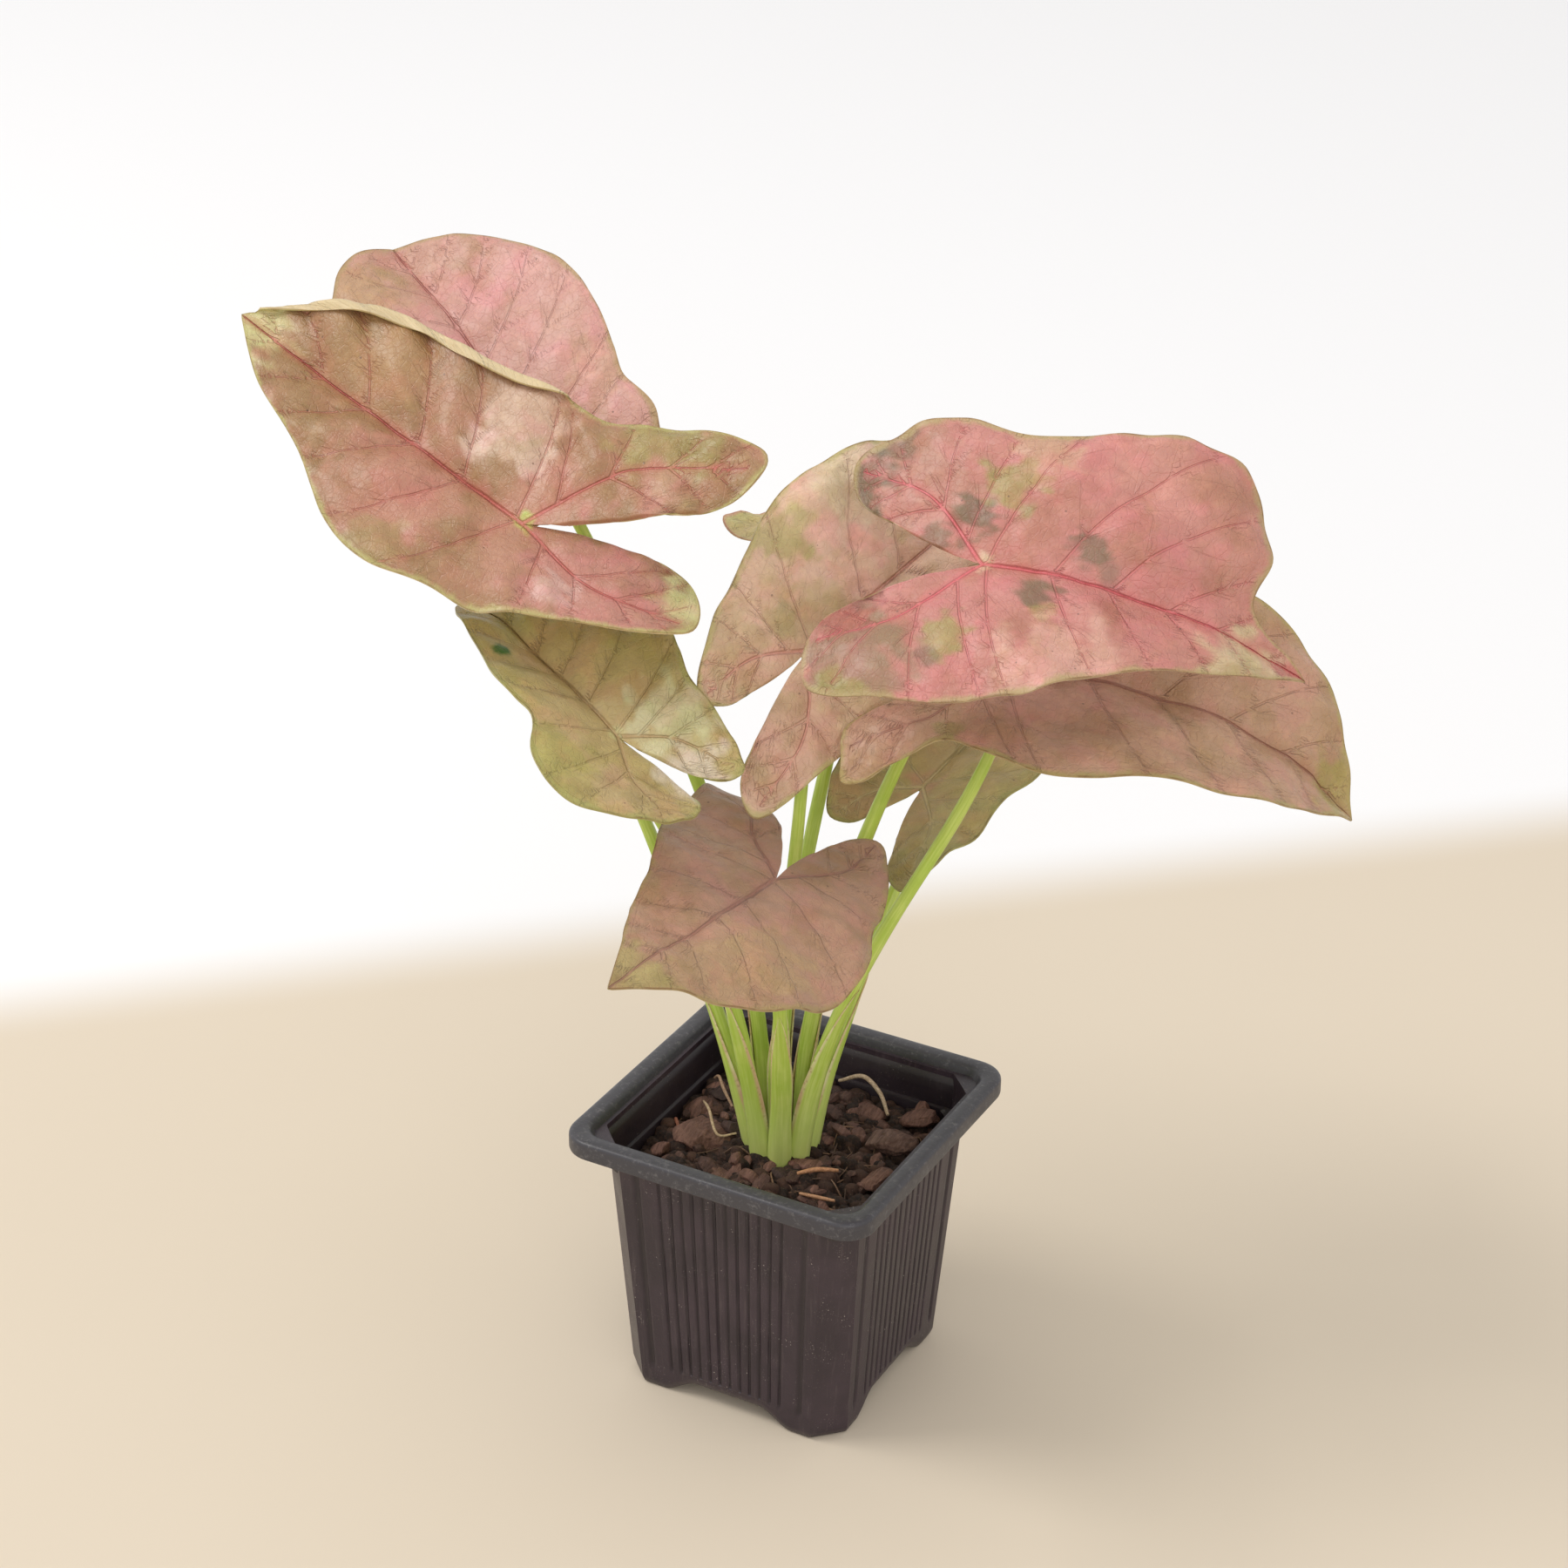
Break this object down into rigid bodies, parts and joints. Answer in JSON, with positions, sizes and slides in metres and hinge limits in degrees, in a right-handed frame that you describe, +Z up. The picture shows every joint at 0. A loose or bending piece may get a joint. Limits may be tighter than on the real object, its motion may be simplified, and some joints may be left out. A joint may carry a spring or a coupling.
{
  "type": "potted syngonium",
  "caption": "Young arrowhead plant with broad pink and olive leaves on slim green stalks, standing in a small square nursery pot of dark plastic.",
  "frame": {"origin": "centre of the bounding box at its bottom, on the plane that the pot stands on", "axes": "+Z up; the pot's sides run along X and Y; the picture looks from -Y and a little from +X, so +X is to its right"},
  "size_m": [0.2514, 0.2098, 0.2599],
  "materials": {
    "pot_plastic": "dark aubergine black, matte with a satin rim",
    "potting_mix": "dark damp peat with bark chips",
    "crown_tissue": "pale green plant tissue",
    "stalk_skin": "light yellow-green, satin, finely striped lengthwise",
    "leaf_left_front": "pink to olive leaf, soft satin with raised veins",
    "leaf_left_back": "pink to olive leaf, soft satin with raised veins",
    "leaf_left_low": "pink to olive leaf, soft satin with raised veins",
    "leaf_centre": "pink to olive leaf, soft satin with raised veins",
    "leaf_right_top": "pink to olive leaf, soft satin with raised veins",
    "leaf_right_low": "pink to olive leaf, soft satin with raised veins",
    "leaf_back_low": "pink to olive leaf, soft satin with raised veins",
    "leaf_front_low": "pink to olive leaf, soft satin with raised veins",
    "leaf_back_small": "pink to olive leaf, soft satin with raised veins"
  },
  "bodies": {
    "root": {"pot": "pot_plastic", "soil": "potting_mix", "crown": "crown_tissue", "leaf_left_front": "leaf_left_front", "leaf_left_back": "leaf_left_back", "leaf_left_low": "leaf_left_low", "leaf_centre": "leaf_centre", "leaf_right_top": "leaf_right_top", "leaf_right_low": "leaf_right_low", "leaf_back_low": "leaf_back_low", "leaf_front_low": "leaf_front_low", "leaf_back_small": "leaf_back_small", "stalk_left_front": "stalk_skin", "stalk_left_back": "stalk_skin", "stalk_left_low": "stalk_skin", "stalk_centre": "stalk_skin", "stalk_right_top": "stalk_skin", "stalk_right_low": "stalk_skin", "stalk_back_low": "stalk_skin", "stalk_front_low": "stalk_skin", "stalk_back_small": "stalk_skin"}
  },
  "joints": []
}
